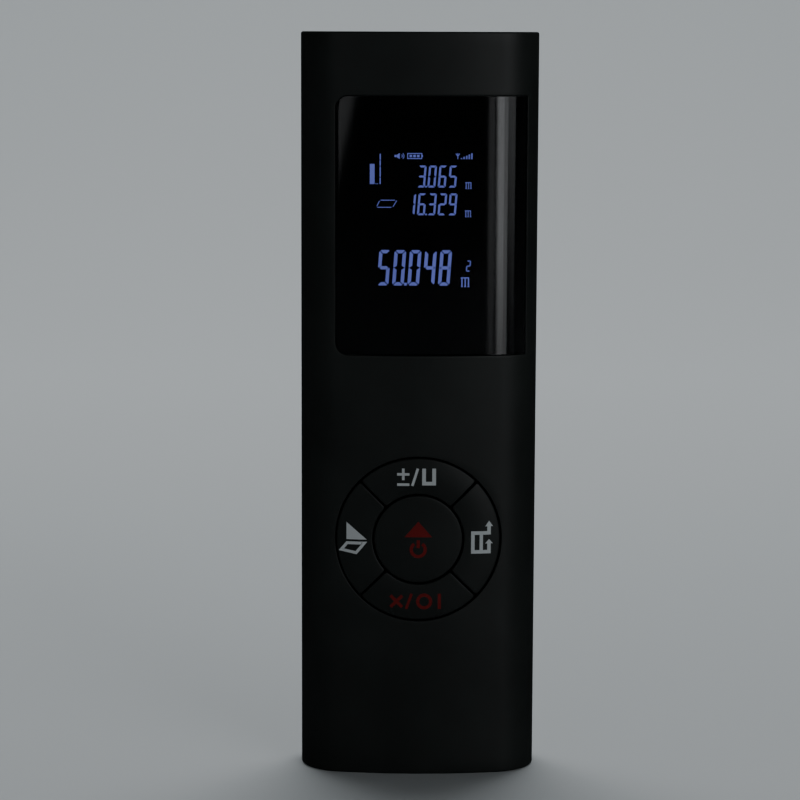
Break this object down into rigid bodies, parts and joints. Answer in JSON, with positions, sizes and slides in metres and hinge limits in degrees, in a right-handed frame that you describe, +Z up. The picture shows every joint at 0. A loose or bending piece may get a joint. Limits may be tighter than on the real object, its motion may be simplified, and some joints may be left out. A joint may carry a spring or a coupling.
{
  "type": "laser distance meter",
  "caption": "Slim black pocket laser distance meter with a curved display window and a round key wheel, standing on its lower end.",
  "frame": {"origin": "middle of the lower end face, which the meter stands on", "axes": "+Z up along the housing towards the laser end, +Y from the display to the back, +X to the right as seen from the display side"},
  "size_m": [0.0366, 0.0182, 0.115],
  "materials": {
    "housing_plastic": "fine matte texture",
    "key_plastic": "satin",
    "window_plastic": "polished, tinted",
    "cap_plastic": "fine matte texture",
    "tape": "adhesive film",
    "label_film": "satin film",
    "optical_glass": "polished",
    "display_glass": "polished",
    "polariser": "satin",
    "light_guide": "polished",
    "white_plastic": "satin",
    "board_laminate": "solder mask",
    "chip_resin": "moulded",
    "steel": "plated",
    "brass": "turned",
    "bench_alloy": "matte black",
    "silicone": "matte",
    "foam": "matte",
    "cell_foil": "satin foil",
    "flex_film": "polyimide film",
    "lead_red": "insulation",
    "lead_black": "insulation",
    "gold_contacts": "plated",
    "carrier_plastic": "moulded",
    "filter_glass": "coated"
  },
  "bodies": {
    "housing": {"body_sleeve": "housing_plastic", "window_lens": "window_plastic", "window_tape": "tape", "back_label": "label_film", "top_cap": "cap_plastic", "receiver_window": "optical_glass", "emitter_window": "optical_glass", "bottom_cap": "cap_plastic", "cap_screws": "steel", "keypad_mat": "silicone", "dome_measure": "steel", "dome_unit": "steel", "dome_reference": "steel", "dome_off": "steel", "dome_area": "steel", "main_board": "board_laminate", "board_screws": "steel", "processor_chip": "chip_resin", "laser_driver_chip": "chip_resin", "crystal_can": "steel", "charger_chip": "chip_resin", "power_inductor": "chip_resin", "battery_connector": "white_plastic", "buzzer": "chip_resin", "socket_shell": "steel", "socket_tongue": "gold_contacts", "lcd_front_polariser": "polariser", "lcd_front_glass": "display_glass", "lcd_rear_glass": "display_glass", "lcd_rear_polariser": "polariser", "backlight_plate": "light_guide", "backlight_lamps": "white_plastic", "lcd_frame": "white_plastic", "lcd_flex": "flex_film", "optical_bench": "bench_alloy", "receiver_lens": "optical_glass", "lens_ring": "bench_alloy", "receiver_gasket": "foam", "receiver_filter": "filter_glass", "detector_chip": "chip_resin", "detector_board": "board_laminate", "detector_shield": "steel", "laser_barrel": "brass", "laser_diode": "gold_contacts", "collimator_lens": "optical_glass", "collimator_spacer": "steel", "laser_board": "board_laminate", "battery_cell": "cell_foil", "battery_foam": "foam", "inner_chassis": "carrier_plastic", "battery_lead_red": "lead_red", "battery_lead_black": "lead_black"},
    "measure_key": {"key_measure": "key_plastic"},
    "unit_key": {"key_unit": "key_plastic"},
    "reference_key": {"key_reference": "key_plastic"},
    "off_key": {"key_off": "key_plastic"},
    "area_key": {"key_area": "key_plastic"}
  },
  "joints": [
    {"name": "measure_key_press", "type": "slide", "parent": "housing", "child": "measure_key", "axis": [0, 1, 0], "range_m": [0, 0.0004], "stiffness_N_per_m": 800, "springref_m": -0.0005},
    {"name": "unit_key_press", "type": "slide", "parent": "housing", "child": "unit_key", "axis": [0, 1, 0], "range_m": [0, 0.0004], "stiffness_N_per_m": 800, "springref_m": -0.0005},
    {"name": "reference_key_press", "type": "slide", "parent": "housing", "child": "reference_key", "axis": [0, 1, 0], "range_m": [0, 0.0004], "stiffness_N_per_m": 800, "springref_m": -0.0005},
    {"name": "off_key_press", "type": "slide", "parent": "housing", "child": "off_key", "axis": [0, 1, 0], "range_m": [0, 0.0004], "stiffness_N_per_m": 800, "springref_m": -0.0005},
    {"name": "area_key_press", "type": "slide", "parent": "housing", "child": "area_key", "axis": [0, 1, 0], "range_m": [0, 0.0004], "stiffness_N_per_m": 800, "springref_m": -0.0005}
  ]
}
